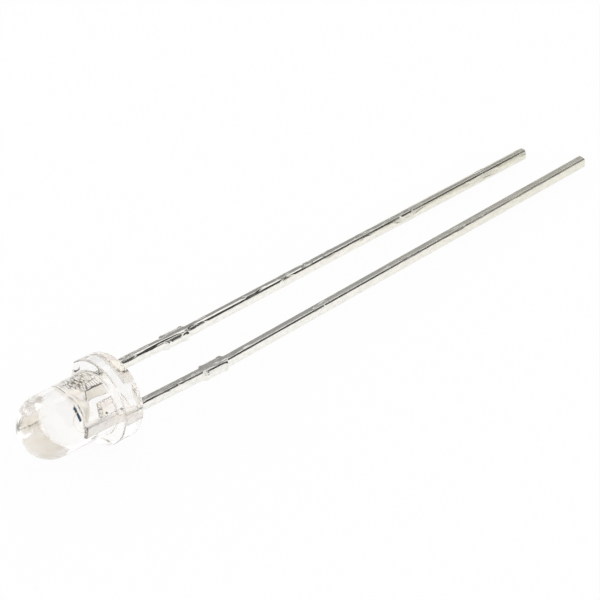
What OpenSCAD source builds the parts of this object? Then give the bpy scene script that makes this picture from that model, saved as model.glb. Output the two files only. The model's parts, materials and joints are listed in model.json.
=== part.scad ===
// Round 3 mm through-hole LED in water-clear epoxy, as it comes to rest on a flat surface.
// Every piece is drawn upright: the seating face of the flange is z = 0, the dome points up +Z and the anode
// is on the +X side. at_rest() lays the finished part down on the rim of its flange and its two lead tips.

/* [Lens] */
// Diameter of the barrel that goes through a panel hole
lens_d = 2.95; // [2.9:0.05:3.3]
// Height from the seating face to the tip of the dome
lens_h = 5.2; // [5.0:0.1:6.0]
// Diameter of the flange
flange_d = 4.0; // [3.9:0.05:4.4]
// Thickness of the flange
flange_h = 1.1; // [0.95:0.05:1.3]
// Ledge left between the barrel and the flat that marks the cathode side
flat_ledge = 0.06; // [0.02:0.01:0.15]
// Rounding of the flange's two rims
rim_round = 0.08; // [0.04:0.01:0.12]
// Fillet where the barrel grows out of the flange
root_round = 0.10; // [0.04:0.01:0.14]

/* [Leads] */
// Distance between the two leads where they leave the flange
lead_pitch = 2.54; // [2.4:0.02:2.6]
// Width of a lead, in the plane of both leads
lead_w = 0.42; // [0.36:0.01:0.46]
// Thickness of the strip that the leads are stamped from
lead_t = 0.50; // [0.40:0.01:0.54]
// Length of the cathode lead below the seating face
cathode_len = 26.8; // [16:0.2:30]
// Length of the anode lead below the seating face
anode_len = 28.6; // [16:0.2:32]
// Rounding along the four edges of a lead
edge_round = 0.10; // [0.03:0.01:0.12]
// Chamfer round the cut end of a lead
tip_chamfer = 0.06; // [0.02:0.01:0.1]
// Lean of each lead towards the other past its stop, in degrees
toe_in = 0.6; // [0:0.1:1.5]
// Bend of both leads upwards just past the stops, as the part lies, in degrees; 0 leaves them straight
lead_lift = 2.5; // [0:0.5:4]

/* [Stops] */
// Distance from the seating face to the stop, which is what is left of the strip's tie bar
stop_from = 4.1; // [2:0.1:6]
// Length of the stop
stop_len = 1.5; // [1:0.1:2.5]
// How far the stop stands proud of each side of the lead
stop_proud = 0.10; // [0.04:0.01:0.2]
// Extra height of the sheared ear at each end of the stop
ear_proud = 0.04; // [0.01:0.01:0.08]
// Length of an ear
ear_len = 0.22; // [0.1:0.02:0.3]

/* [Lead frame in the epoxy] */
// Epoxy left between the lead frame and the barrel's wall
wall_cover = 0.16; // [0.12:0.01:0.2]
// Epoxy left under the two feet, where the leads widen out
foot_cover = 0.30; // [0.2:0.05:0.4]
// Distance from the axis to the inner edge of the cathode's foot
cathode_inset = 0.27; // [0.2:0.01:0.35]
// Gap between the two feet
foot_gap = 0.48; // [0.36:0.01:0.54]
// Height at which the cathode's foot starts to widen into the head that holds the cup
gusset_from = 1.60; // [1.5:0.02:1.7]
// Height of the shoulder of the anode's foot at its inner edge
shoulder_top = 1.62; // [1.5:0.02:1.8]
// How much higher that shoulder is where it meets the post
shoulder_rise = 0.26; // [0.1:0.02:0.36]
// Rounding of the shoulder's inner corner
shoulder_round = 0.16; // [0.06:0.02:0.2]
// Gap between the rim of the head and the anode's post
post_gap = 0.34; // [0.2:0.01:0.4]
// Width of the corner that is cut off the post's top on the cup's side
post_cut = 0.18; // [0.06:0.01:0.2]
// How far the post's bonding face stands above the cup's rim
post_rise = 0.34; // [0:0.02:0.5]

/* [Reflector cup] */
// Height of the cup's rim above the seating face
cup_top = 2.50; // [2.4:0.05:2.7]
// Diameter of the cup at its rim
cup_d = 0.90; // [0.8:0.02:0.96]
// Diameter of the cup's flat floor
cup_floor_d = 0.50; // [0.46:0.02:0.54]
// Depth of the cup
cup_depth = 0.32; // [0.26:0.02:0.36]
// Wall left round the cup's rim
cup_wall = 0.06; // [0.04:0.01:0.08]
// Height of the cone that the punched cup pushes out of the plate
bulge_h = 0.50; // [0.46:0.02:0.56]
// Straight land at the top of that cone
rim_land = 0.10; // [0.06:0.01:0.14]

/* [Chip and wire] */
// Side of the square chip
chip_w = 0.28; // [0.2:0.01:0.30]
// Height of the chip
chip_h = 0.14; // [0.08:0.01:0.16]
// Thickness of the adhesive under the chip
glue_t = 0.02; // [0.01:0.005:0.04]
// Width of the adhesive's fillet round the chip
glue_skirt = 0.05; // [0.02:0.01:0.07]
// Diameter of the bond wire
wire_d = 0.030; // [0.026:0.002:0.05]
// Diameter of the ball that welds the wire to the chip
ball_d = 0.10; // [0.08:0.01:0.12]
// Height of the squashed ball
ball_h = 0.04; // [0.03:0.01:0.06]
// Height of the wire's loop above the post's bonding face
loop_h = 0.30; // [0.2:0.02:0.4]

/* [Hidden] */
$fn = 96;

lens_r = lens_d / 2;
flange_r = flange_d / 2;
flat_x = lens_r + flat_ledge;
dome_z = lens_h - lens_r;
lead_x = lead_pitch / 2;
stop_mid = stop_from + stop_len / 2;

// Lead frame: the widest reach of a plate inside the barrel, and where each lead steps in to stay inside it
frame_x = sqrt(pow(lens_r - wall_cover, 2) - pow(lead_t / 2, 2));
knee_z = flange_h - 0.35;
step_z = flange_h - 0.15;
corner = 0.12;
anode_edge = foot_gap - cathode_inset;

// Reflector cup, in the cone that it pushes out of the cathode's plate
cup_r = cup_d / 2;
head_r = cup_r + cup_wall;
head_reach = sqrt(pow(head_r, 2) - pow(lead_t / 2, 2)) - 0.02;
cup_floor_z = cup_top - cup_depth;
bulge_r = 0.40 * head_r;

// Anode's post
post_x = head_r + post_gap;
post_top = cup_top + post_rise;
post_corner = 0.06;

chip_z = cup_floor_z + glue_t;
chip_top = chip_z + chip_h;
wire_r = wire_d / 2;
ball_top = chip_top + ball_h;

// Where the wire lands on the anode post, and how high its loop stands over the chip
stitch_x = post_x + post_cut + wire_r;
stitch_len = 0.6 * (frame_x - post_corner - stitch_x);
wire_sides = 8;
wire_rings = 22;
wire_rest = wire_r * cos(180 / wire_sides);

// Bend of the leads just past their stops: where it starts below the stop's middle, its radius and its length
bend_start = stop_len / 2 + 0.1;
bend_r = 3;
bend_run = bend_r * lead_lift * PI / 180;

// Resting pose: the flange's back rim and both tips touch the surface
mean_len = (cathode_len + anode_len) / 2;
past_bend = mean_len - stop_mid - bend_start - bend_run;
tip_rise = bend_r * (1 - cos(lead_lift)) + past_bend * sin(lead_lift);
tip_reach = stop_mid + bend_start + bend_r * sin(lead_lift) + past_bend * cos(lead_lift);
tip_spread = lead_pitch - 2 * sin(toe_in) * (tip_reach - stop_mid);
rest_tilt = atan((flange_r - lead_t / 2 + tip_rise) / tip_reach);
rest_roll = -asin((anode_len - cathode_len) * sin(rest_tilt - lead_lift) / tip_spread);

function arc(centre, r, from, to, steps) =
    [for (i = [0:steps]) centre + r * [cos(from + (to - from) * i / steps), sin(from + (to - from) * i / steps)]];

// Lays an upright piece down: the dome to -X, the leads to +X, the cathode to +Y
module at_rest() {
    rotate([0, rest_tilt, 0]) rotate([rest_roll, 0, 0]) rotate([90, 0, -90]) children();
}

// Half section of the flange and barrel, with rounded rims and a filleted root
module flange_section() {
    turns = 4;
    polygon(concat(
        [[0, 0]],
        arc([flange_r - rim_round, rim_round], rim_round, -90, 0, turns),
        arc([flange_r - rim_round, flange_h - rim_round], rim_round, 0, 90, turns),
        arc([lens_r + root_round, flange_h + root_round], root_round, 270, 180, turns),
        [[lens_r, dome_z], [0, dome_z]]
    ));
}

module dome_section() {
    translate([0, dome_z]) intersection() {
        circle(r = lens_r);
        square(lens_r);
    }
}

module lens_outside() {
    difference() {
        rotate_extrude() {
            flange_section();
            dome_section();
        }
        translate([-flat_x - flange_r, -flange_r, -flange_h / 2]) cube([flange_r, flange_d, 2 * flange_h]);
    }
}

module lens() {
    color([0.93, 0.95, 0.97, 0.35]) difference() {
        lens_outside();
        cathode_solid();
        anode_solid();
        glue_solid();
        chip_solid();
        wire_solid();
    }
}

// Cross-section of a lead: a square with rounded edges
module lead_section() {
    w = lead_w / 2 - edge_round;
    t = lead_t / 2 - edge_round;
    polygon(concat(
        arc([w, t], edge_round, 0, 90, 3),
        arc([-w, t], edge_round, 90, 180, 3),
        arc([-w, -t], edge_round, 180, 270, 3),
        arc([w, -t], edge_round, 270, 360, 3)
    ));
}

// Straight run of a lead down from the origin, with its cut end chamfered
module lead_run(len) {
    ends = [lead_w / 2 - tip_chamfer, lead_t / 2 - tip_chamfer];
    intersection() {
        translate([0, 0, -len]) linear_extrude(height = len) lead_section();
        side_chamfer(len, lead_w, [0, 0, 0]);
        side_chamfer(len, lead_t, [0, 0, 90]);
    }
}

// A slab as wide as the lead whose lower corners are cut off
module side_chamfer(len, w, turn) {
    rotate(turn) rotate([90, 0, 0]) linear_extrude(height = 2 * (lead_w + lead_t), center = true) polygon([
        [-w, 0], [-w, tip_chamfer + w / 2 - len], [tip_chamfer - w / 2, -len],
        [w / 2 - tip_chamfer, -len], [w, tip_chamfer + w / 2 - len], [w, 0]
    ]);
}

// Outline points of one side of a stop, from its upper end down: a ramp, an ear, the waist, an ear and a ramp
function stop_side() = let (
    side = lead_w / 2,
    waist = side + stop_proud,
    ear = waist + ear_proud
) [
    [side - edge_round, -stop_from],
    [waist, -stop_from - stop_proud],
    [ear, -stop_from - stop_proud - ear_len / 2],
    [waist, -stop_from - stop_proud - ear_len],
    [waist, -stop_from - stop_len + stop_proud + ear_len],
    [ear, -stop_from - stop_len + stop_proud + ear_len / 2],
    [ear, -stop_from - stop_len + stop_proud],
    [side - edge_round, -stop_from - stop_len]
];

function mirrored(points) = [for (i = [len(points) - 1:-1:0]) [-points[i][0], points[i][1]]];

// Run of a lead down from the origin that bends towards +Y on its way
module bent_run(len) {
    translate([0, 0, -bend_start]) {
        linear_extrude(height = bend_start) lead_section();
        translate([0, bend_r, 0]) {
            if (lead_lift > 0) rotate([-90, 0, 0]) rotate([0, 90, 0]) bend();
            rotate([lead_lift, 0, 0]) translate([0, -bend_r, 0]) lead_run(len - bend_start - bend_run);
        }
    }
}

module bend() {
    rotate_extrude(angle = lead_lift) translate([bend_r, 0]) rotate(90) lead_section();
}

// One lead below the epoxy: straight to the stop, then leaning in, then bent. side is 1 for the anode.
module lead_shank(len, side) {
    translate([side * lead_x, 0, 0]) {
        translate([0, 0, -stop_mid]) linear_extrude(height = stop_mid + foot_cover) lead_section();
        translate([0, 0, -stop_mid]) rotate([0, side * toe_in, 0]) bent_run(len - stop_mid);
        plate(concat(stop_side(), mirrored(stop_side())));
    }
}

// A stamped outline in the plane of both leads, as thick as the strip
module plate(points) {
    rotate([90, 0, 0]) linear_extrude(height = lead_t, center = true) polygon(points);
}

// Cathode side of the frame: a wide foot, and above it the head that reaches over to carry the cup
function cathode_outline() = [
    [-lead_x - lead_w / 2, foot_cover / 2], [-lead_x - lead_w / 2, knee_z], [-frame_x, step_z],
    [-frame_x, cup_top - corner], [corner - frame_x, cup_top], [head_reach, cup_top],
    [head_reach, cup_top - rim_land], [-cathode_inset, gusset_from],
    [-cathode_inset, foot_cover + corner], [-cathode_inset - corner, foot_cover],
    [-lead_x + lead_w / 2, foot_cover], [-lead_x + lead_w / 2, foot_cover / 2]
];

module cathode_solid() {
    difference() {
        union() {
            lead_shank(cathode_len, -1);
            plate(cathode_outline());
            rim_z = cup_top - rim_land;
            translate([0, 0, cup_top - bulge_h]) cylinder(h = bulge_h - rim_land, r1 = bulge_r, r2 = head_r);
            translate([0, 0, rim_z]) cylinder(h = rim_land, r = head_r);
        }
        translate([0, 0, cup_floor_z]) cylinder(h = cup_depth, d1 = cup_floor_d, d2 = cup_d);
    }
}

module cathode_lead() {
    color([0.78, 0.78, 0.77]) cathode_solid();
}

// Anode side of the frame: a foot with a sloping shoulder, and the post that the wire is bonded to
function anode_outline() = concat(
    [[lead_x - lead_w / 2, foot_cover / 2], [lead_x - lead_w / 2, foot_cover], [anode_edge + corner, foot_cover],
     [anode_edge, foot_cover + corner]],
    arc([anode_edge + shoulder_round, shoulder_top - shoulder_round], shoulder_round, 180, 110, 6),
    [[post_x, shoulder_top + shoulder_rise], [post_x, post_top - 1.5 * post_cut],
     [post_x + post_cut, post_top], [frame_x - post_corner, post_top], [frame_x, post_top - post_corner],
     [frame_x, step_z], [lead_x + lead_w / 2, knee_z],
     [lead_x + lead_w / 2, foot_cover / 2]]
);

module anode_solid() {
    lead_shank(anode_len, 1);
    plate(anode_outline());
}

module anode_lead() {
    color([0.78, 0.78, 0.77]) anode_solid();
}

// Silver-filled adhesive: a low pad whose skirt climbs the foot of the chip
module glue_solid() {
    foot = chip_w + 2 * glue_skirt;
    difference() {
        translate([0, 0, cup_floor_z]) cylinder(h = 2 * glue_t, d1 = min(foot, cup_floor_d - 0.02), d2 = chip_w);
        chip_solid();
    }
}

module chip_adhesive() {
    color([0.70, 0.69, 0.66]) glue_solid();
}

module chip_solid() {
    translate([-chip_w / 2, -chip_w / 2, chip_z]) cube([chip_w, chip_w, chip_h]);
}

module led_chip() {
    color([0.72, 0.78, 0.62]) chip_solid();
}

// Centreline of the wire: straight up from the ball, over in a loop, and down to lie on the anode post
function wire_point(s) = let (
    up = [0, ball_top - wire_r],
    over = [0.12 * stitch_x, post_top + 1.9 * loop_h],
    drop = [0.7 * stitch_x, post_top + 0.9 * loop_h],
    land = [stitch_x, post_top + wire_rest],
    r = 1 - s
) r * r * r * up + 3 * r * r * s * over + 3 * r * s * s * drop + s * s * s * land;

function wire_path() = concat(
    [for (i = [0:wire_rings]) wire_point(i / wire_rings)],
    [[stitch_x + stitch_len, post_top + wire_rest]]
);

// Direction of the path at point i, as an angle in the plane of both leads
function heading(path, i) = let (
    a = path[max(i - 1, 0)],
    b = path[min(i + 1, len(path) - 1)]
) i == 0 ? 90 : i == len(path) - 1 ? 0 : atan2(b[1] - a[1], b[0] - a[0]);

module wire_tube() {
    path = wire_path();
    rings = len(path);
    points = [for (i = [0:rings - 1], k = [0:wire_sides - 1]) let (
        turn = heading(path, i),
        out = wire_r * cos(360 * (k + 0.5) / wire_sides),
        across = wire_r * sin(360 * (k + 0.5) / wire_sides)
    ) [path[i][0] - out * sin(turn), across, path[i][1] + out * cos(turn)]];
    sides = [for (i = [0:rings - 2], k = [0:wire_sides - 1]) let (n = (k + 1) % wire_sides) [
        i * wire_sides + k, i * wire_sides + n, (i + 1) * wire_sides + n, (i + 1) * wire_sides + k
    ]];
    first = [for (k = [wire_sides - 1:-1:0]) k];
    last = [for (k = [0:wire_sides - 1]) (rings - 1) * wire_sides + k];
    polyhedron(points = points, faces = concat([first], sides, [last]));
}

module wire_solid() {
    wire_tube();
    translate([0, 0, chip_top]) cylinder(h = ball_h, d = ball_d);
}

module bond_wire() {
    color([0.86, 0.68, 0.30]) wire_solid();
}

at_rest() lens();
at_rest() cathode_lead();
at_rest() anode_lead();
at_rest() led_chip();
at_rest() chip_adhesive();
at_rest() bond_wire();
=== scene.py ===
"""Looks of a round 3 mm through-hole LED in water-clear epoxy, lying on its flange rim and its two lead tips.

Pieces are shaped in millimetres on a bench frame: +X runs from the dome to the lead tips, +Y points to the
cathode's side, +Z is up, and the flange's seating face is X = 0. RestPose lays them down on the surface.
Outlines of the plates are drawn upright, as (across, height) points: across is -Y and height is -X.
"""
import json
import logging
import math
from dataclasses import dataclass
from enum import Enum
from typing import Any, Iterable, Sequence

import bmesh
import bpy
from mathutils import Matrix, Vector

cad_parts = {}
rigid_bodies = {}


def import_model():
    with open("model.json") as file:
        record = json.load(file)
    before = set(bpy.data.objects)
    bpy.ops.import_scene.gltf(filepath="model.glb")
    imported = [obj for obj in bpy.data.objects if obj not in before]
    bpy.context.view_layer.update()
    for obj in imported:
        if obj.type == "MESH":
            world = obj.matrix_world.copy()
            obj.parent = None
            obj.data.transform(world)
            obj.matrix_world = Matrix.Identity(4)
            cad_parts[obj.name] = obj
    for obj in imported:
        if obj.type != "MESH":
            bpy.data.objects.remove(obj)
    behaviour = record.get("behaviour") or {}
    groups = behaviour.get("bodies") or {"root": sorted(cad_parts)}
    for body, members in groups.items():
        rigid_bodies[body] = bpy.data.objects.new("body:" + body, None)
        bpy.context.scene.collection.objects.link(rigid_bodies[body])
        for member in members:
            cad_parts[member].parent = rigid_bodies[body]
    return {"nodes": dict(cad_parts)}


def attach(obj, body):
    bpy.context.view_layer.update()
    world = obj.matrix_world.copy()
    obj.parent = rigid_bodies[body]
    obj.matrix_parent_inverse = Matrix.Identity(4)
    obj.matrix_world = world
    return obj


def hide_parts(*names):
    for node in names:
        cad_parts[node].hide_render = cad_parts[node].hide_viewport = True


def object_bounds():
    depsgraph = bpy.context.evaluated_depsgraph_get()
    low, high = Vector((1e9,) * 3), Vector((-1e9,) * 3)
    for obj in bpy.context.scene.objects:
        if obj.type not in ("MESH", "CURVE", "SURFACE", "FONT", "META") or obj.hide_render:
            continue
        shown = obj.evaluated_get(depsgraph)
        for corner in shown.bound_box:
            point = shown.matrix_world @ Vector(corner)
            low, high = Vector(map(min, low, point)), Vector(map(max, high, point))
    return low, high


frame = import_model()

LOG = logging.getLogger("led")
MM = 0.001
CAD_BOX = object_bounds()
WELD = 1e-5
SLIVER = 1e-7
LEVEL = 1e-6
FLOOR_GAP = 0.00001

Pair = tuple[float, float]
Span = tuple[float, float]
Point2 = tuple[float, float]
Point3 = tuple[float, float, float]
Colour = tuple[float, float, float, float]
WHITE: Colour = (1.0, 1.0, 1.0, 1.0)


class Side(Enum):
    """Which of the two leads, as the sign of its Y on the bench."""

    CATHODE = 1
    ANODE = -1


def smoothstep(low: float, high: float, value: float) -> float:
    """Smooth rise from 0 at low to 1 at high."""
    part = min(max((value - low) / (high - low), 0.0), 1.0)
    return part * part * (3 - 2 * part)


def arc(centre: Point2, radius: float, start: float, end: float, steps: int) -> list[Point2]:
    """Points on an arc.

    Args:
        centre: Centre of the arc.
        radius: Radius of the arc.
        start: First angle in degrees.
        end: Last angle in degrees.
        steps: Number of chords.

    Returns:
        steps + 1 points, from start to end.
    """
    turns = [math.radians(start + (end - start) * i / steps) for i in range(steps + 1)]
    return [(centre[0] + radius * math.cos(a), centre[1] + radius * math.sin(a)) for a in turns]


# Node graphs


class Graph:
    """Adds nodes to one tree, of a material, the world or a modifier, and links them."""

    def __init__(self, tree: bpy.types.NodeTree) -> None:
        """Keeps the tree."""
        self.tree = tree

    def add(self, kind: str, settings: dict[str, Any] | None = None,
            sockets: dict[str | int, Any] | None = None) -> "Step":
        """Adds one node.

        Args:
            kind: The node's type, such as ShaderNodeTexNoise.
            settings: Its properties, such as a Math node's operation, set before its sockets.
            sockets: Values or links for its inputs, by name or by index.

        Returns:
            The node, wrapped, so that its outputs read as values.
        """
        node = self.tree.nodes.new(kind)
        for name, value in (settings or {}).items():
            setattr(node, name, value)
        for key, value in (sockets or {}).items():
            if isinstance(value, Val):
                self.tree.links.new(value.socket, node.inputs[key])
            else:
                node.inputs[key].default_value = value
        return Step(self, node)


class Step:
    """One node of a graph."""

    def __init__(self, graph: Graph, node: bpy.types.Node) -> None:
        """Keeps the graph and the node."""
        self.graph = graph
        self.node = node

    def __getitem__(self, key: str | int) -> "Val":
        """One output of the node, by name or by index."""
        return Val(self.graph, self.node.outputs[key])


class Val:
    """A socket's value, on which Python's operators add Math nodes."""

    def __init__(self, graph: Graph, socket: bpy.types.NodeSocket) -> None:
        """Keeps the graph and the socket."""
        self.graph = graph
        self.socket = socket

    def op(self, operation: str, other: Any = None, swapped: bool = False) -> "Val":
        """Adds a Math node.

        Args:
            operation: The node's operation.
            other: The second operand, where the operation takes two.
            swapped: Whether the other operand comes first.

        Returns:
            The node's value.
        """
        pair = (other, self) if swapped else (self, other)
        operands = {i: v for i, v in enumerate(pair) if v is not None}
        return self.graph.add("ShaderNodeMath", {"operation": operation}, operands)[0]

    def __add__(self, other: Any) -> "Val":
        """self + other."""
        return self.op("ADD", other)

    __radd__ = __add__

    def __sub__(self, other: Any) -> "Val":
        """self - other."""
        return self.op("SUBTRACT", other)

    def __rsub__(self, other: Any) -> "Val":
        """other - self."""
        return self.op("SUBTRACT", other, True)

    def __mul__(self, other: Any) -> "Val":
        """self * other."""
        return self.op("MULTIPLY", other)

    __rmul__ = __mul__

    def __truediv__(self, other: Any) -> "Val":
        """self / other."""
        return self.op("DIVIDE", other)

    def __neg__(self) -> "Val":
        """Negative of the value."""
        return self * -1.0

    def __abs__(self) -> "Val":
        """Size of the value."""
        return self.op("ABSOLUTE")

    def least(self, other: Any) -> "Val":
        """The smaller of the two."""
        return self.op("MINIMUM", other)

    def most(self, other: Any) -> "Val":
        """The larger of the two."""
        return self.op("MAXIMUM", other)

    def rise(self, span: Span) -> "Val":
        """Smooth rise from 0 at the span's start to 1 at its end."""
        ends = {"Value": self, "From Min": span[0], "From Max": span[1]}
        return self.graph.add("ShaderNodeMapRange", {"interpolation_type": "SMOOTHSTEP"}, ends)["Result"]

    def fall(self, span: Span) -> "Val":
        """Smooth fall from 1 at the span's start to 0 at its end."""
        return 1 - self.rise(span)

    def between(self, enter: Span, leave: Span) -> "Val":
        """1 between the two spans, with a smooth rise over the first and a smooth fall over the second."""
        return self.rise(enter) * self.fall(leave)


def parts(g: Graph, vector: Val) -> tuple[Val, Val, Val]:
    """X, Y and Z of a vector."""
    step = g.add("ShaderNodeSeparateXYZ", None, {0: vector})
    return step["X"], step["Y"], step["Z"]


def joined(g: Graph, x: Any, y: Any, z: Any) -> Val:
    """The vector with these X, Y and Z."""
    return g.add("ShaderNodeCombineXYZ", None, {"X": x, "Y": y, "Z": z})[0]


def shifted(g: Graph, vector: Val, by: Any) -> Val:
    """The vector moved by another one."""
    return g.add("ShaderNodeVectorMath", {"operation": "ADD"}, {0: vector, 1: by})[0]


# Meshes


def mesh_object(name: str, mesh: bpy.types.Mesh) -> bpy.types.Object:
    """Puts a mesh in the scene.

    Args:
        name: Name of the object.
        mesh: Its mesh.

    Returns:
        The object, at the origin.
    """
    piece = bpy.data.objects.new(name, mesh)
    bpy.context.scene.collection.objects.link(piece)
    return piece


def mesh_from(name: str, points: Sequence[Point3], edges: Sequence[tuple[int, int]] = (),
              faces: Sequence[Sequence[int]] = ()) -> bpy.types.Object:
    """Makes an object from plain lists.

    Args:
        name: Name of the object.
        points: Places of its points.
        edges: Pairs of points.
        faces: Rings of points.

    Returns:
        The object.
    """
    mesh = bpy.data.meshes.new(name)
    mesh.from_pydata([tuple(p) for p in points], list(edges), [tuple(f) for f in faces])
    return mesh_object(name, mesh)


def solid_from(name: str, shape: bmesh.types.BMesh) -> bpy.types.Object:
    """Makes an object from an edit mesh.

    Args:
        name: Name of the object.
        shape: The edit mesh, which is freed.

    Returns:
        The object.
    """
    mesh = bpy.data.meshes.new(name)
    shape.to_mesh(mesh)
    shape.free()
    return mesh_object(name, mesh)


def faced(piece: bpy.types.Object, sliver: float = 0.0) -> bpy.types.Object:
    """Turns the faces of a closed mesh outwards.

    Args:
        piece: Object with the mesh.
        sliver: Edges no longer than this are closed first, where it isn't 0.

    Returns:
        The same object.
    """
    shape = bmesh.new()
    shape.from_mesh(piece.data)
    if sliver > 0:
        bmesh.ops.dissolve_degenerate(shape, dist=sliver, edges=shape.edges)
    bmesh.ops.recalc_face_normals(shape, faces=shape.faces)
    shape.to_mesh(piece.data)
    shape.free()
    return piece


def baked(piece: bpy.types.Object) -> bpy.types.Object:
    """Turns an object's live modifiers into a plain mesh.

    Args:
        piece: Object with modifiers.

    Returns:
        The same object, with the evaluated mesh and no modifier.
    """
    evaluated = piece.evaluated_get(bpy.context.evaluated_depsgraph_get())
    mesh = bpy.data.meshes.new_from_object(evaluated)
    piece.modifiers.clear()
    raw = piece.data
    piece.data = mesh
    bpy.data.meshes.remove(raw)
    return piece


def drop(helper: bpy.types.Object) -> None:
    """Deletes a helper's mesh, and the helper with it."""
    bpy.data.meshes.remove(helper.data)


def combined(piece: bpy.types.Object, other: bpy.types.Object, operation: str) -> bpy.types.Object:
    """Joins a helper solid to a piece, or cuts it away.

    Args:
        piece: The solid that stays.
        other: The helper, which is deleted.
        operation: UNION or DIFFERENCE.

    Returns:
        The piece with its new mesh.
    """
    modifier = piece.modifiers.new("combine", "BOOLEAN")
    modifier.operation = operation
    modifier.solver = "EXACT"
    modifier.object = other
    baked(piece)
    drop(other)
    return piece


def smooth(piece: bpy.types.Object, angle: float = 32.0) -> bpy.types.Object:
    """Shades a piece smooth.

    Args:
        piece: Object with the mesh.
        angle: Edges sharper than this, in degrees, stay sharp.

    Returns:
        The same object.
    """
    mesh = piece.data
    for polygon in mesh.polygons:
        polygon.use_smooth = True
    mesh.set_sharp_from_angle(angle=math.radians(angle))
    return piece


def slab(name: str, outline: Sequence[Point2], thickness: float, edge: float = 0.0) -> bpy.types.Object:
    """Cuts a plate from sheet.

    Args:
        name: Name of the object.
        outline: Corners in the XY plane, in either direction.
        thickness: Thickness along Z, centred on the plane.
        edge: Rounding of the plate's edges, where it isn't 0.

    Returns:
        The plate.
    """
    shape = bmesh.new()
    base = [shape.verts.new((x, y, -thickness / 2)) for x, y in outline]
    face = shape.faces.new(base)
    lifted = bmesh.ops.extrude_face_region(shape, geom=[face])
    top = [v for v in lifted["geom"] if isinstance(v, bmesh.types.BMVert)]
    bmesh.ops.translate(shape, verts=top, vec=(0, 0, thickness))
    bmesh.ops.recalc_face_normals(shape, faces=shape.faces)
    if edge > 0:
        rims = [e for e in shape.edges if abs(e.verts[0].co.z - e.verts[1].co.z) < LEVEL]
        bmesh.ops.bevel(shape, geom=rims, offset=edge, segments=3, profile=0.5, affect="EDGES")
    return solid_from(name, shape)


class Modeller:
    """Base of the Geometry Nodes trees: named inputs, one geometry in and one out."""

    def __init__(self, name: str, inputs: Sequence[tuple[str, str, Any]]) -> None:
        """Starts a tree.

        Args:
            name: Name of the tree.
            inputs: Name, kind of socket and default of each input, apart from the geometry and the material.
        """
        self.tree = bpy.data.node_groups.new(name, "GeometryNodeTree")
        self.graph = Graph(self.tree)
        self.ids: dict[str, str] = {}
        self.tree.interface.new_socket("Geometry", in_out="OUTPUT", socket_type="NodeSocketGeometry")
        for label, kind, default in (("Geometry", "Geometry", None), *inputs, ("Material", "Material", None)):
            socket = self.tree.interface.new_socket(label, in_out="INPUT", socket_type="NodeSocket" + kind)
            if default is not None:
                socket.default_value = default
            self.ids[label] = socket.identifier

    def close(self, geometry: Val, material: Val) -> None:
        """Ends the tree in Realize Instances and Set Material.

        Args:
            geometry: The finished shape.
            material: The tree's material input.
        """
        real = self.graph.add("GeometryNodeRealizeInstances", None, {0: geometry})
        dressed = self.graph.add("GeometryNodeSetMaterial", None, {"Geometry": real[0], "Material": material})
        self.graph.add("NodeGroupOutput", None, {"Geometry": dressed[0]})

    def run(self, piece: bpy.types.Object, values: dict[str, Any]) -> bpy.types.Object:
        """Runs the tree on an object and keeps the result as a plain mesh.

        Args:
            piece: Object whose mesh goes in.
            values: Values for the tree's named inputs.

        Returns:
            The object with the resulting mesh.
        """
        modifier = piece.modifiers.new(self.tree.name, "NODES")
        modifier.node_group = self.tree
        for name, value in values.items():
            modifier[self.ids[name]] = value
        return baked(piece)


class Turner(Modeller):
    """Turns a profile about the bench's X axis: row i of a grid takes point i of the profile."""

    def __init__(self) -> None:
        """Builds the tree."""
        super().__init__("turned_profile", (("Rows", "Int", 2), ("Segments", "Int", 64)))
        g = self.graph
        source = g.add("NodeGroupInput")
        rows = source["Rows"]
        grid = g.add("GeometryNodeMeshGrid", None, {
            "Size X": 1.0, "Size Y": 1.0, "Vertices X": source["Segments"] + 1, "Vertices Y": rows})
        grid_x, grid_y, _ = parts(g, g.add("GeometryNodeInputPosition")[0])
        sample = g.add("GeometryNodeSampleIndex", {"data_type": "FLOAT_VECTOR", "domain": "POINT"}, {
            "Geometry": source["Geometry"], "Value": g.add("GeometryNodeInputPosition")[0],
            "Index": ((grid_y + 0.5) * (rows - 1)).op("ROUND")})
        x, radius, _ = parts(g, sample[0])
        angle = (grid_x + 0.5) * (2 * math.pi)
        spot = joined(g, x, angle.op("COSINE") * radius, angle.op("SINE") * radius)
        placed = g.add("GeometryNodeSetPosition", None, {"Geometry": grid["Mesh"], "Position": spot})
        merged = g.add("GeometryNodeMergeByDistance", None, {"Geometry": placed[0], "Distance": WELD})
        self.close(merged[0], source["Material"])

    def turn(self, name: str, profile: Sequence[Point2], segments: int) -> bpy.types.Object:
        """Turns one profile.

        Args:
            name: Name of the object.
            profile: (radius, height) points, from one end on the axis to the other.
            segments: Number of facets round the axis.

        Returns:
            The closed solid, with faces that point outwards.
        """
        piece = mesh_from(name, [(-height, radius, 0.0) for radius, height in profile])
        self.run(piece, {"Rows": len(profile), "Segments": segments})
        return faced(piece, SLIVER)


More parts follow.
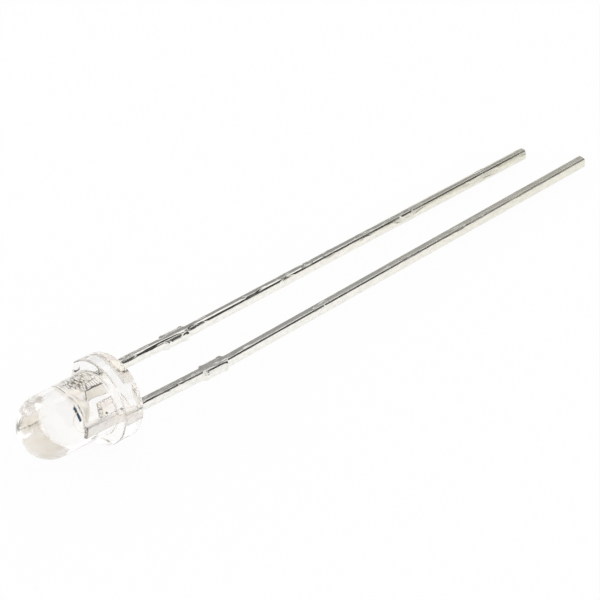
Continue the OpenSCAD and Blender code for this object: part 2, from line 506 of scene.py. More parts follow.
class Drawer(Modeller):
    """Draws a section along a path whose points carry the half width, and adds ripples at the end."""

    def __init__(self) -> None:
        """Builds the tree."""
        super().__init__("drawn_section", (
            ("Half Width", "Float", 0.2), ("Ripple", "Float", 0.0), ("Ripple Scale", "Float", 3.0),
            ("Ripple Stretch", "Float", 0.45), ("Section", "Object", None)))
        g = self.graph
        source = g.add("NodeGroupInput")
        path = g.add("GeometryNodeMeshToCurve", None, {"Mesh": source["Geometry"]})
        upright = g.add("GeometryNodeSetCurveNormal", {"mode": "Z_UP"}, {0: path[0]})
        twisted = g.add("GeometryNodeSetCurveTilt", None, {"Curve": upright[0], "Tilt": self.named("twist")})
        sized = g.add("GeometryNodeSetCurveRadius", None, {
            "Curve": twisted[0], "Radius": self.named("girth")})
        profile = g.add("GeometryNodeObjectInfo", {"transform_space": "ORIGINAL"}, {
            "Object": source["Section"]})
        section = g.add("GeometryNodeMeshToCurve", None, {"Mesh": profile["Geometry"]})
        swept = g.add("GeometryNodeCurveToMesh", None, {
            "Curve": sized[0], "Profile Curve": section[0], "Fill Caps": True})
        x, y, z = parts(g, g.add("GeometryNodeInputPosition")[0])
        middle = self.named("middle")
        wide = middle + (y - middle) * (self.named("reach") / source["Half Width"])
        widened = g.add("GeometryNodeSetPosition", None, {
            "Geometry": swept[0], "Position": joined(g, x, wide, z)})
        pattern = noise(g, joined(g, x * source["Ripple Stretch"], y, z), source["Ripple Scale"])
        push = g.add("ShaderNodeVectorMath", {"operation": "SCALE"}, {
            0: g.add("GeometryNodeInputNormal")[0], "Scale": (pattern - 0.5) * source["Ripple"]})
        rippled = g.add("GeometryNodeSetPosition", None, {"Geometry": widened[0], "Offset": push[0]})
        self.close(rippled[0], source["Material"])

    def named(self, name: str) -> Val:
        """A number that the path's points carry."""
        column = {"Name": name}
        return self.graph.add("GeometryNodeInputNamedAttribute", {"data_type": "FLOAT"}, column)["Attribute"]

    def draw(self, name: str, path: Sequence[Point3], section: Sequence[Point2], reach: Sequence[float],
             girth: Sequence[float], half_width: float, twist: Sequence[float] = (), ripple: float = 0.0,
             ripple_scale: float = 3.0) -> bpy.types.Object:
        """Draws one section along one path.

        Args:
            name: Name of the object.
            path: Points of the centreline.
            section: Closed section, as (across, up) points.
            reach: Half width at each point of the path.
            girth: Scale of the section at each point of the path.
            half_width: Half width of the section as given.
            twist: Turn of the section at each point of the path, in radians, or none.
            ripple: Height of the ripples.
            ripple_scale: Ripples per millimetre, roughly.

        Returns:
            The closed solid.
        """
        count = len(section)
        profile = mesh_from(name + "_section", [(a, b, 0.0) for a, b in section],
                            [(i, (i + 1) % count) for i in range(count)])
        piece = mesh_from(name, path, [(i, i + 1) for i in range(len(path) - 1)])
        columns = {"reach": reach, "girth": girth, "middle": [p[1] for p in path],
                   "twist": twist or [0.0] * len(path)}
        for column, values in columns.items():
            piece.data.attributes.new(column, "FLOAT", "POINT").data.foreach_set("value", list(values))
        self.run(piece, {"Half Width": half_width, "Ripple": ripple, "Ripple Scale": ripple_scale,
                         "Section": profile})
        drop(profile)
        return faced(piece)


# Sizes in millimetres and angles in degrees. Those that the part's source also has carry the same values.


@dataclass(frozen=True)
class LensSizes:
    """Sizes of the epoxy casting."""

    barrel_d: float = 2.95
    height: float = 5.2
    flange_d: float = 4.0
    flange_h: float = 1.1
    flat_ledge: float = 0.06
    rim_round: float = 0.08
    root_round: float = 0.10

    @property
    def barrel_r(self) -> float:
        """Radius of the barrel and of the dome."""
        return self.barrel_d / 2

    @property
    def flange_r(self) -> float:
        """Radius of the flange."""
        return self.flange_d / 2

    @property
    def flat_y(self) -> float:
        """Distance of the flat from the axis."""
        return self.barrel_r + self.flat_ledge


@dataclass(frozen=True)
class LeadSizes:
    """Sizes of the two leads below the lens.

    lengths, crowns and twists have a value for the cathode and one for the anode. A crown is the slope of the
    top and of the flank where they meet the rounded edge, and a twist is the turn at the lens and at the tip.
    Each of tip_girths is a distance from the tip and the section's scale there.
    """

    pitch: float = 2.54
    width: float = 0.42
    thickness: float = 0.50
    lengths: Pair = (26.8, 28.6)
    edge_round: float = 0.10
    toe_in: float = 0.6
    lift: float = 2.5
    bend_r: float = 3.0
    bend_clear: float = 0.1
    stop_from: float = 4.1
    stop_len: float = 1.5
    stop_proud: float = 0.10
    ear_proud: float = 0.04
    ear_len: float = 0.22
    tip_len: float = 0.14
    tip_girths: tuple[Pair, ...] = (
        (0.10, 1.0), (0.07, 0.985), (0.045, 0.955), (0.025, 0.91), (0.010, 0.85), (0.0, 0.76))
    crowns: tuple[Pair, Pair] = ((15.0, 7.0), (7.0, 7.0))
    twists: tuple[Span, Span] = ((0.0, -18.5), (-6.0, -9.0))
    ripple: float = 0.006
    ripple_scale: float = 2.4

    @property
    def stop_mid(self) -> float:
        """Distance from the seating face to the middle of the stops."""
        return self.stop_from + self.stop_len / 2

    def centre(self, side: Side, run: float) -> Point3:
        """Point of a lead's centreline: straight to the stop, leaning in from there, lifting past the stop.

        Args:
            side: Which lead.
            run: Distance along the lead from the seating face.

        Returns:
            The point on the bench.
        """
        past = run - self.stop_mid
        if past <= 0:
            return (run, side.value * self.pitch / 2, 0.0)
        turn, start = math.radians(self.lift), self.stop_len / 2 + self.bend_clear
        bent = min(max((past - start) / self.bend_r, 0.0), turn)
        rest = max(past - start - self.bend_r * turn, 0.0)
        ahead = min(past, start) + self.bend_r * math.sin(bent) + rest * math.cos(turn)
        rise = self.bend_r * (1 - math.cos(bent)) + rest * math.sin(turn)
        toe = math.radians(self.toe_in)
        return (self.stop_mid + ahead * math.cos(toe),
                side.value * (self.pitch / 2 - ahead * math.sin(toe)), rise)


@dataclass(frozen=True)
class RestPose:
    """How the part lies: on its flange's back rim and both lead tips."""

    lens: LensSizes
    leads: LeadSizes

    def matrix(self) -> Matrix:
        """Works out the resting place.

        Returns:
            The matrix that takes bench millimetres to the row frame's metres.
        """
        leads = self.leads
        reach, half_spread, rise = leads.centre(Side.ANODE, sum(leads.lengths) / 2)
        tilt = math.atan((self.lens.flange_r - leads.thickness / 2 + rise) / reach)
        fall = (leads.lengths[1] - leads.lengths[0]) * math.sin(tilt - math.radians(leads.lift))
        roll = -math.asin(fall / (2 * abs(half_spread)))
        return Matrix.Rotation(tilt, 4, "Y") @ Matrix.Rotation(roll, 4, "X") @ Matrix.Scale(MM, 4)

    def lay(self, piece: bpy.types.Object) -> bpy.types.Object:
        """Moves a mesh to its resting place and keeps each point's bench place as an attribute.

        Args:
            piece: Object with the mesh on the bench.

        Returns:
            The same object, still at the origin.
        """
        mesh = piece.data
        bench = mesh.attributes.new("bench", "FLOAT_VECTOR", "POINT")
        places = [0.0] * (3 * len(mesh.vertices))
        mesh.vertices.foreach_get("co", places)
        bench.data.foreach_set("vector", places)
        mesh.transform(self.matrix())
        mesh.update()
        return piece


@dataclass(frozen=True)
class FrameSizes:
    """Sizes of the two stamped plates inside the lens.

    bowl_floor and bowl_lip hold two points each, as offsets across and in height from the edge of the cup's
    floor and from its lip.
    """

    wall_cover: float = 0.16
    foot_cover: float = 0.30
    widen_low: float = 0.35
    widen_high: float = 0.15
    cathode_inset: float = 0.27
    foot_gap: float = 0.48
    gusset_from: float = 1.60
    shoulder_top: float = 1.62
    shoulder_rise: float = 0.26
    shoulder_round: float = 0.16
    shoulder_end: float = 110.0
    post_gap: float = 0.34
    post_cut: float = 0.18
    post_slope: float = 1.5
    post_corner: float = 0.06
    post_rise: float = 0.34
    cup_top: float = 2.50
    cup_d: float = 0.90
    cup_floor_d: float = 0.50
    cup_depth: float = 0.32
    cup_wall: float = 0.06
    cup_segments: int = 96
    bowl_floor: tuple[Point2, Point2] = ((-0.02, 0.0), (0.005, 0.02))
    bowl_lip: tuple[Point2, Point2] = ((-0.01, -0.012), (0.005, 0.01))
    bulge_h: float = 0.50
    bulge_share: float = 0.40
    head_overlap: float = 0.02
    rim_land: float = 0.10
    rim_bevel: float = 0.01
    corner: float = 0.12
    edge: float = 0.045

    @property
    def head_r(self) -> float:
        """Radius of the cup's head at its rim."""
        return self.cup_d / 2 + self.cup_wall

    @property
    def post_y(self) -> float:
        """Distance of the post's inner edge from the axis."""
        return self.head_r + self.post_gap

    @property
    def post_top(self) -> float:
        """Height of the post's bonding face."""
        return self.cup_top + self.post_rise

    @property
    def floor_z(self) -> float:
        """Height of the cup's floor."""
        return self.cup_top - self.cup_depth

    def reach(self, lens: LensSizes, leads: LeadSizes) -> float:
        """Widest reach of a plate inside the barrel."""
        return math.sqrt((lens.barrel_r - self.wall_cover) ** 2 - (leads.thickness / 2) ** 2)


@dataclass(frozen=True)
class ChipSizes:
    """Sizes of the chip, its adhesive and its wire.

    Each of levels is a share of the chip's height, an offset in height and an inset. Each of skirt_foot and
    skirt_top is an offset across and one in height, from the skirt's foot and from the chip's side. Each of
    loop_marks is a share of the wire's span and one of the loop's height. rest_sides counts the sides of the
    wire in the part's source, which lies on one of them.
    """

    side: float = 0.28
    height: float = 0.14
    levels: tuple[Point3, ...] = (
        (0.0, 0.0, 0.0), (0.7, 0.0, 0.0), (0.74, 0.0, 0.012), (1.0, -0.003, 0.015), (1.0, 0.0, 0.018))
    glue: float = 0.02
    skirt: float = 0.05
    skirt_clear: float = 0.01
    skirt_foot: tuple[Point2, ...] = ((-0.004, 0.0), (0.0, 0.004), (-0.02, 0.014))
    skirt_top: tuple[Point2, ...] = ((0.02, 0.026), (-0.01, 0.04))
    skirt_segments: int = 72
    seat_depth: float = 0.2
    wire_d: float = 0.030
    wire_sides: int = 16
    rest_sides: int = 8
    wire_steps: int = 48
    loop_h: float = 0.30
    loop_marks: tuple[Point2, Point2] = ((0.12, 1.9), (0.7, 0.9))
    landing: float = 0.6
    landing_steps: int = 4
    squash: tuple[float, ...] = (0.92, 0.8, 0.62)
    ball_d: float = 0.10
    ball_h: float = 0.04
    ball_edge: float = 0.008
    ball_steps: int = 9
    ball_segments: int = 40


# Finishes


def fresh_material(name: str) -> tuple[bpy.types.Material, Graph]:
    """Starts a material.

    Args:
        name: Name of the material.

    Returns:
        The material and the graph of its empty tree.
    """
    material = bpy.data.materials.new(name)
    material.use_nodes = True
    material.node_tree.nodes.clear()
    return material, Graph(material.node_tree)


def principled(g: Graph, values: dict[str, Any]) -> None:
    """Ends a material in a Principled shader with these inputs."""
    shader = g.add("ShaderNodeBsdfPrincipled", None, values)
    g.add("ShaderNodeOutputMaterial", None, {"Surface": shader[0]})


def bench_place(g: Graph) -> Val:
    """A surface point's place on the bench, in millimetres."""
    return g.add("ShaderNodeAttribute", {"attribute_type": "GEOMETRY", "attribute_name": "bench"})["Vector"]


def stretched(g: Graph, place: Val, scale: Point3) -> Val:
    """The place scaled along each axis, for patterns that run one way."""
    return g.add("ShaderNodeVectorMath", {"operation": "MULTIPLY"}, {0: place, 1: scale})[0]


def noise(g: Graph, vector: Val, scale: Any, detail: float = 2.0, roughness: float = 0.5) -> Val:
    """A noise pattern from 0 to 1."""
    return g.add("ShaderNodeTexNoise", {"noise_dimensions": "3D"}, {
        "Vector": vector, "Scale": scale, "Detail": detail, "Roughness": roughness})[0]


def noise_colour(g: Graph, vector: Val, scale: float) -> Val:
    """A noise pattern with three channels, to push a place about."""
    return g.add("ShaderNodeTexNoise", {"noise_dimensions": "3D"}, {"Vector": vector, "Scale": scale})[1]


def blend(g: Graph, factor: Any, first: Any, second: Any) -> Val:
    """Mixes two colours. A Mix node's inputs 6 and 7 and its output 2 are those of its colours."""
    return g.add("ShaderNodeMix", {"data_type": "RGBA"}, {"Factor": factor, 6: first, 7: second})[2]


def bump(g: Graph, height: Val, distance: float) -> Val:
    """Turns a height from 0 to 1 into a normal. distance is in metres."""
    return g.add("ShaderNodeBump", None, {"Height": height, "Distance": distance, "Strength": 1.0})["Normal"]


@dataclass(frozen=True)
class ClearEpoxy:
    """Water-clear cast epoxy: polished where the mould was polished, faintly rippled all over."""

    ior: float = 1.54
    tint: Colour = (1.0, 0.990, 0.970, 1.0)
    haze: Colour = (0.990, 0.984, 0.978, 1.0)
    haze_span: Span = (0.45, 0.8)
    haze_rough: float = 0.02
    flow: Point3 = (0.5, 2.6, 2.6)
    broad_share: float = 0.7
    striae_share: float = 1.6
    fine_share: float = 0.02
    ripple_height: float = 10.0e-6

    def make(self) -> bpy.types.Material:
        """Builds the material.

        Returns:
            The material.
        """
        material, g = fresh_material("clear_epoxy")
        place = bench_place(g)
        broad = noise(g, place, scale=0.9)
        fine = noise(g, place, scale=14.0, detail=3.0)
        striae = noise(g, stretched(g, place, self.flow), scale=1.5, roughness=0.4)
        height = broad * self.broad_share + striae * self.striae_share + fine * self.fine_share
        principled(g, {
            "Base Color": blend(g, broad, self.tint, self.haze),
            "Roughness": fine.rise(self.haze_span) * self.haze_rough,
            "Normal": bump(g, height, self.ripple_height), "IOR": self.ior, "Transmission Weight": 1.0})
        return material


@dataclass(frozen=True)
class StripMarks:
    """Where the marks on a plated strip lie.

    A Span is where a mask begins and where it is whole: in a noise's value, a normal's Z or a place on the
    bench. Heights count from the seating face towards the dome. A name with round holds squares of distances.
    """

    shift: Point3 = (1.0, 0.7, 0.0)
    lens_face: Span = (-0.12, 0.0)
    far_run: Span = (8.0, 26.0)
    worn_run: Span = (2.6, 6.4)
    worn_patch: Span = (0.44, 0.58)
    pit: Span = (0.46, 0.62)
    pit_facing: Span = (0.15, 0.4)
    front: Span = (0.15, 0.22)
    warp: float = 0.06
    pebble_size: float = 8.2
    seam: Span = (0.02, 0.13)
    patch: Span = (0.35, 0.5)
    patch_ease: Span = (-0.6, 1.0)
    rolled_from: Span = (0.55, 0.75)
    rolled_side: Span = (0.2, 0.3)
    rolled_lean: float = 1.9
    rolled_to: Span = (1.0, 1.25)
    head_round: Span = (0.28, 0.32)
    head_from: Span = (1.9, 2.0)
    # painted shade along the plates' bevelled rims, set by the normal's slope
    rim_shade_facing: tuple[Span, Span] = ((0.2, 0.4), (0.88, 0.98))
    rim_shade_patch: Span = (0.30, 0.48)
    rim_shade_side: Span = (0.85, 1.0)
    rim_shade_ease: float = 0.75
    # painted shade: where the chip's shade is painted on the cup's far wall
    shade_round: Span = (0.20, 0.215)
    shade_up: Span = (-0.2, -0.12)
    shade_height: tuple[Span, Span] = ((2.35, 2.39), (2.46, 2.49))
    shade_across: tuple[Span, Span] = ((0.03, 0.08), (0.30, 0.35))
    foot_lean: float = 0.35
    foot_outer: tuple[Span, Span, Span] = ((0.18, 0.24), (0.60, 0.70), (1.5, 1.6))
    foot_inner: tuple[Span, Span, Span] = ((0.34, 0.40), (0.82, 0.90), (1.25, 1.33))
    foot_open: Span = (0.92, 1.0)
    foot_side: Span = (1.05, 1.15)
    foot_share: float = 0.7
    dot: Point2 = (-0.85, -1.42)
    dot_round: Span = (0.002, 0.006)
    crest_height: Span = (2.70, 2.76)
    crest_patch: Span = (0.32, 0.55)
    # painted shade: the span of the normal's Z over which the tin's downward faces are darkened
    under: Span = (-0.25, 0.15)
    grain: Span = (0.35, 0.70)
    back: Span = (0.5, 0.8)
    back_patch: Span = (0.42, 0.60)


class StripMasks:
    """Masks from 0 to 1 over one plated strip."""

    def __init__(self, g: Graph, marks: StripMarks, seed: float) -> None:
        """Reads the place on the bench.

        Args:
            g: Graph of the material.
            marks: Where the marks lie.
            seed: How far the patterns are shifted, so that two strips differ.
        """
        self.g = g
        self.marks = marks
        place = bench_place(g)
        self.along, self.across, self.up = parts(g, place)
        self.height = -self.along
        self.pattern = shifted(g, place, tuple(seed * share for share in marks.shift))
        self.normal_z = parts(g, g.add("ShaderNodeNewGeometry")["Normal"])[2]
        self.facing = abs(self.normal_z)
        self.radius = self.across * self.across + self.up * self.up
        self.head = self.radius.fall(marks.head_round) * self.height.rise(marks.head_from)
        self.front = self.up.rise(marks.front)
        push = stretched(g, noise_colour(g, self.pattern, scale=6.0), (marks.warp,) * 3)
        warped = shifted(g, self.pattern, push)
        cells = g.add("ShaderNodeTexVoronoi", {"feature": "DISTANCE_TO_EDGE"}, {
            "Vector": warped, "Scale": marks.pebble_size})
        self.pebble = cells["Distance"].rise(marks.seam)
        self.seams = 1 - self.pebble

    def streaks(self, stretch: Point3, scale: float, detail: float = 2.0, roughness: float = 0.5) -> Val:
        """A noise pattern that runs one way."""
        return noise(self.g, stretched(self.g, self.pattern, stretch), scale, detail, roughness)

    def patches(self, scale: float, span: Span) -> Val:
        """Patches of one noise pattern."""
        return noise(self.g, self.pattern, scale).rise(span)

    def pits(self) -> Val:
        """Finds the pits in the tin.

        Returns:
            The mask, near the lens and in patches further out.
        """
        marks = self.marks
        patchy = self.streaks((0.3, 0.0, 0.0), scale=1.0).rise(marks.worn_patch)
        worn = self.along.fall(marks.worn_run).most(patchy)
        pits = self.streaks((0.3, 1.0, 1.0), scale=4.2, detail=0.0).rise(marks.pit)
        return pits * worn * self.facing.rise(marks.pit_facing)

    def rolled(self) -> Val:
        """Finds the pebbled part of the cathode's plate.

        Returns:
            The mask, on the front.
        """
        marks = self.marks
        lean = self.height - marks.rolled_lean * self.across
        area = self.height.rise(marks.rolled_from) * lean.fall(marks.rolled_to)
        patchy = self.patches(2.3, marks.patch).rise(marks.patch_ease)
        return area * self.across.rise(marks.rolled_side) * patchy * self.front

    def rim_shade(self) -> Val:
        """Finds where shade is painted along the plates' bevelled rims, in broken patches.

        Returns:
            The mask, fainter on the anode's outer side.
        """
        marks = self.marks
        rim = self.facing.between(*marks.rim_shade_facing) * self.patches(7.0, marks.rim_shade_patch)
        return rim * (1 - self.head) * (1 - (-self.across).rise(marks.rim_shade_side) * marks.rim_shade_ease)

    def cup_shade(self) -> Val:
        """Finds the chip's shade on the cup's far wall.

        Returns:
            The mask.
        """
        marks = self.marks
        wall = self.head * self.radius.fall(marks.shade_round) * self.up.fall(marks.shade_up)
        return wall * self.height.between(*marks.shade_height) * self.across.between(*marks.shade_across)

    def foot_marks(self) -> Val:
        """Finds the ring of seams and the dot on the anode's foot.

        Returns:
            The mask, on the front.
        """
        marks, left = self.marks, -self.across
        lean = self.height + marks.foot_lean * self.across
        outer, inner = (left.rise(side) * self.height.rise(low) * lean.fall(high)
                        for side, low, high in (marks.foot_outer, marks.foot_inner))
        ring = outer * (1 - inner * left.fall(marks.foot_open)) * left.fall(marks.foot_side)
        off_y, off_x = self.across - marks.dot[0], self.along - marks.dot[1]
        dot = (off_y * off_y + off_x * off_x).fall(marks.dot_round)
        return (self.seams * ring * marks.foot_share).most(dot) * self.front

    def crest(self) -> Val:
        """Broken rim of the anode's post."""
        return self.height.rise(self.marks.crest_height) * self.patches(12.0, self.marks.crest_patch)


@dataclass(frozen=True)
class PlatedStrip:
    """Stamped steel strip: bright tin on the lead, pebbled silver inside the lens. Shade is painted on the
    tin's downward faces, along the plates' bevelled rims and on the cup's far wall.

    A name with dull, tone or rough holds a mark's share in that, and one with relief its height in the bump.
    """

    name: str
    tin: Colour = (0.98, 0.965, 0.915, 1.0)
    tin_far: Colour = (0.905, 0.885, 0.775, 1.0)
    # dull tin of the drawn streaks, pits and grain, and the colour of the painted shade on the downward faces
    tin_dull_and_shade: Colour = (0.70, 0.685, 0.625, 1.0)
    silver: Colour = (1.0, 0.985, 0.97, 1.0)
    silver_warm: Colour = (1.0, 0.96, 0.86, 1.0)
    silver_rose: Colour = (0.93, 0.85, 0.83, 1.0)
    silver_cream: Colour = (0.98, 0.92, 0.82, 1.0)
    # dark colour of the pebble seams and of the foot's and post's marks, and of the painted shade along the
    # bevelled rims
    silver_dark_and_shade: Colour = (0.10, 0.075, 0.06, 1.0)
    # slate colour of the chip's painted shade on the cup's far wall
    shade: Colour = (0.05, 0.09, 0.13, 1.0)
    seed: float = 0.0
    matte: float = 0.0
    pitting: float = 1.0
    drawn_span: Span = (0.5, 0.8)
    warm_span: Span = (0.3, 0.7)
    rose_span: Span = (0.5, 0.66)
    cloud_span: Span = (0.35, 0.75)
    drawn_dull: float = 0.25
    pit_dull: float = 0.4
    grain_dull: float = 0.45
    # share of painted shade on the tin's downward faces
    painted_under_shade: float = 0.40
    cream_tone: float = 0.8
    seam_tone: float = 0.95
    # share of the painted shade along the bevelled rims
    rim_shade_tone: float = 0.85
    crest_tone: float = 0.8
    tin_rough: float = 0.07
    silver_rough: float = 0.38
    cloud_rough: float = 0.10
    pit_rough: float = 0.15
    far_rough: float = 0.17
    drawn_relief: float = 0.2
    pit_relief: float = 5.5
    pebble_relief: float = 1.5
    bump_height: float = 7.0e-6
    marks: StripMarks = StripMarks()

    def make(self) -> bpy.types.Material:
        """Builds the material.

        Returns:
            The material.
        """
        material, g = fresh_material(self.name)
        masks = StripMasks(g, self.marks, self.seed)
        inside = masks.along.fall(self.marks.lens_face)
        far = masks.along.rise(self.marks.far_run)
        drawn = masks.streaks((0.5, 9.0, 9.0), scale=1.6, detail=3.0, roughness=0.6)
        cloud = masks.streaks((0.35, 1.0, 1.0), scale=2.2, detail=3.0)
        grain = masks.streaks((0.5, 1.0, 1.0), scale=9.0).rise(self.marks.grain)
        pits = masks.pits() * self.pitting
        rolled = masks.rolled()
        # The tin's downward faces are darkened towards the dull tin: painted shade, mixed in with the real
        # dull marks.
        under = masks.normal_z.fall(self.marks.under)
        dull_and_shade = drawn.rise(self.drawn_span) * self.drawn_dull + pits * self.pit_dull
        dull_and_shade = dull_and_shade + grain * self.grain_dull + under * self.painted_under_shade
        tin =blend(g, dull_and_shade * (1 - inside), blend(g, far, self.tin, self.tin_far), self.tin_dull_and_shade)
        streak = masks.streaks((1.5, 7.0, 4.0), scale=1.6, detail=3.0, roughness=0.6)
        cream = masks.streaks((1.0, 2.0, 1.0), scale=2.2, detail=3.0, roughness=0.6)
        back = (-masks.normal_z).rise(self.marks.back) * cream.rise(self.marks.back_patch)
        # Dark pebble seams, foot marks and post rim, with painted shade along the plates' bevelled rims.
        dark_marks_and_shade = (masks.seams * rolled * self.seam_tone).most(masks.rim_shade() * self.rim_shade_tone)
        dark_marks_and_shade = dark_marks_and_shade.most(masks.foot_marks()).most(masks.crest() * self.crest_tone)
        # The last layer paints the chip's shade on the cup's far wall.
        layers = ((cloud.rise(self.warm_span), self.silver_warm),
                  (streak.rise(self.rose_span), self.silver_rose),
                  (back * self.cream_tone, self.silver_cream), (dark_marks_and_shade, self.silver_dark_and_shade),
                  (masks.cup_shade(), self.shade))
        silver: Any = self.silver
        for mask, tone in layers:
            silver = blend(g, mask, silver, tone)
        rough = self.tin_rough + self.matte + cloud.rise(self.cloud_span) * self.cloud_rough
        rough = rough + pits * self.pit_rough + far * self.far_rough
        height = (drawn * self.drawn_relief - pits * self.pit_relief) * (1 - inside)
        height = height + masks.pebble * rolled * inside * self.pebble_relief
        principled(g, {
            "Base Color": blend(g, inside, tin, silver), "Metallic": 1.0,
            "Roughness": rough * (1 - inside) + inside * self.silver_rough,
            "Normal": bump(g, height, self.bump_height)})
        return material


@dataclass(frozen=True)
class ChipFinish:
    """Polished semiconductor with a darker grain."""

    face: Colour = (0.16, 0.22, 0.30, 1.0)
    rim: Colour = (0.05, 0.07, 0.10, 1.0)
    rim_span: Span = (0.35, 0.7)
    rough: float = 0.12
    grain_rough: float = 0.15
    ior: float = 2.4
    bump_height: float = 2.0e-6

    def make(self) -> bpy.types.Material:
        """Builds the material.

        Returns:
            The material.
        """
        material, g = fresh_material("chip")
        grain = noise(g, bench_place(g), scale=40.0, detail=3.0)
        principled(g, {
            "Base Color": blend(g, grain.rise(self.rim_span), self.face, self.rim),
            "Roughness": self.rough + grain * self.grain_rough,
            "Normal": bump(g, grain, self.bump_height), "IOR": self.ior})
        return material


@dataclass(frozen=True)
class SilverPaste:
    """Matte adhesive filled with silver flakes."""

    paste: Colour = (0.50, 0.49, 0.46, 1.0)
    flake: Colour = (0.86, 0.85, 0.82, 1.0)
    flake_scale: float = 55.0
    flake_span: Span = (0.2, 0.5)
    flake_metal: float = 0.8
    rough: float = 0.55
    flake_gloss: float = 0.2
    bump_height: float = 3.0e-6

    def make(self) -> bpy.types.Material:
        """Builds the material.

        Returns:
            The material.
        """
        material, g = fresh_material("silver_adhesive")
        cells = g.add("ShaderNodeTexVoronoi", None, {"Vector": bench_place(g), "Scale": self.flake_scale})
        flakes = cells["Distance"].fall(self.flake_span)
        principled(g, {
            "Base Color": blend(g, flakes, self.paste, self.flake), "Metallic": flakes * self.flake_metal,
            "Roughness": self.rough - flakes * self.flake_gloss,
            "Normal": bump(g, cells["Distance"], self.bump_height)})
        return material


@dataclass(frozen=True)
class GoldWire:
    """Drawn gold."""

    gold: Colour = (1.0, 0.95, 0.85, 1.0)
    shade: Colour = (1.0, 0.92, 0.79, 1.0)
    shade_span: Span = (0.3, 0.7)
    rough: float = 0.26
    drawn_rough: float = 0.12
    bump_height: float = 1.0e-6

    def make(self) -> bpy.types.Material:
        """Builds the material.

        Returns:
            The material.
        """
        material, g = fresh_material("gold_wire")
        drawn = noise(g, bench_place(g), scale=30.0)
        principled(g, {
            "Base Color": blend(g, drawn.rise(self.shade_span), self.gold, self.shade), "Metallic": 1.0,
            "Roughness": self.rough + drawn * self.drawn_rough,
            "Normal": bump(g, drawn, self.bump_height)})
        return material


# Pieces


def to_bench(points: Iterable[Point2]) -> list[Point2]:
    """Turns (across, height) points of the upright drawing into bench (X, Y) points."""
    return [(-z, -x) for x, z in points]


def support(points: list[Point2], gap: float = 0.012) -> list[Point2]:
    """Adds a point close to both ends of each long chord, so that smooth shading stays true there.

    Args:
        points: The profile.
        gap: Distance of an added point from the chord's end. A chord under six gaps stays as it is.

    Returns:
        The profile with the added points.
    """
    result: list[Point2] = [points[0]]
    for (x0, y0), (x1, y1) in zip(points, points[1:]):
        length = math.hypot(x1 - x0, y1 - y0)
        if length > 6 * gap:
            for share in (gap / length, 1 - gap / length):
                result.append((x0 + (x1 - x0) * share, y0 + (y1 - y0) * share))
        result.append((x1, y1))
    return result


@dataclass
class LensCasting:
    """The epoxy casting: dome, barrel and flange with its flat."""

    sizes: LensSizes
    pose: RestPose
    turner: Turner
    segments: int = 256
    fillet_steps: int = 8
    dome_steps: int = 64

    def profile(self) -> list[Point2]:
        """Draws the half section.

        Returns:
            (radius, height) points from the seating face's centre to the tip of the dome.
        """
        s, steps = self.sizes, self.fillet_steps
        rim, root = s.rim_round, s.root_round
        turns = [(0.0, 0.0)]
        turns += arc((s.flange_r - rim, rim), rim, -90, 0, steps)
        turns += arc((s.flange_r - rim, s.flange_h - rim), rim, 0, 90, steps)
        turns += arc((s.barrel_r + root, s.flange_h + root), root, 270, 180, steps)
        turns += arc((0.0, s.height - s.barrel_r), s.barrel_r, 0, 90, self.dome_steps)
        return [(max(r, 0.0), z) for r, z in support(turns)]

    def build(self) -> bpy.types.Object:
        """Makes the casting.

        Returns:
            The casting at rest.
        """
        size, flat = self.sizes.flange_d, self.sizes.flat_y
        lens = self.turner.turn("lens_casting", self.profile(), self.segments)
        cutter = slab("flat_cutter", [(-size, flat), (size, flat), (size, flat + size), (-size, flat + size)],
                      2 * size)
        return self.pose.lay(smooth(combined(lens, cutter, "DIFFERENCE")))


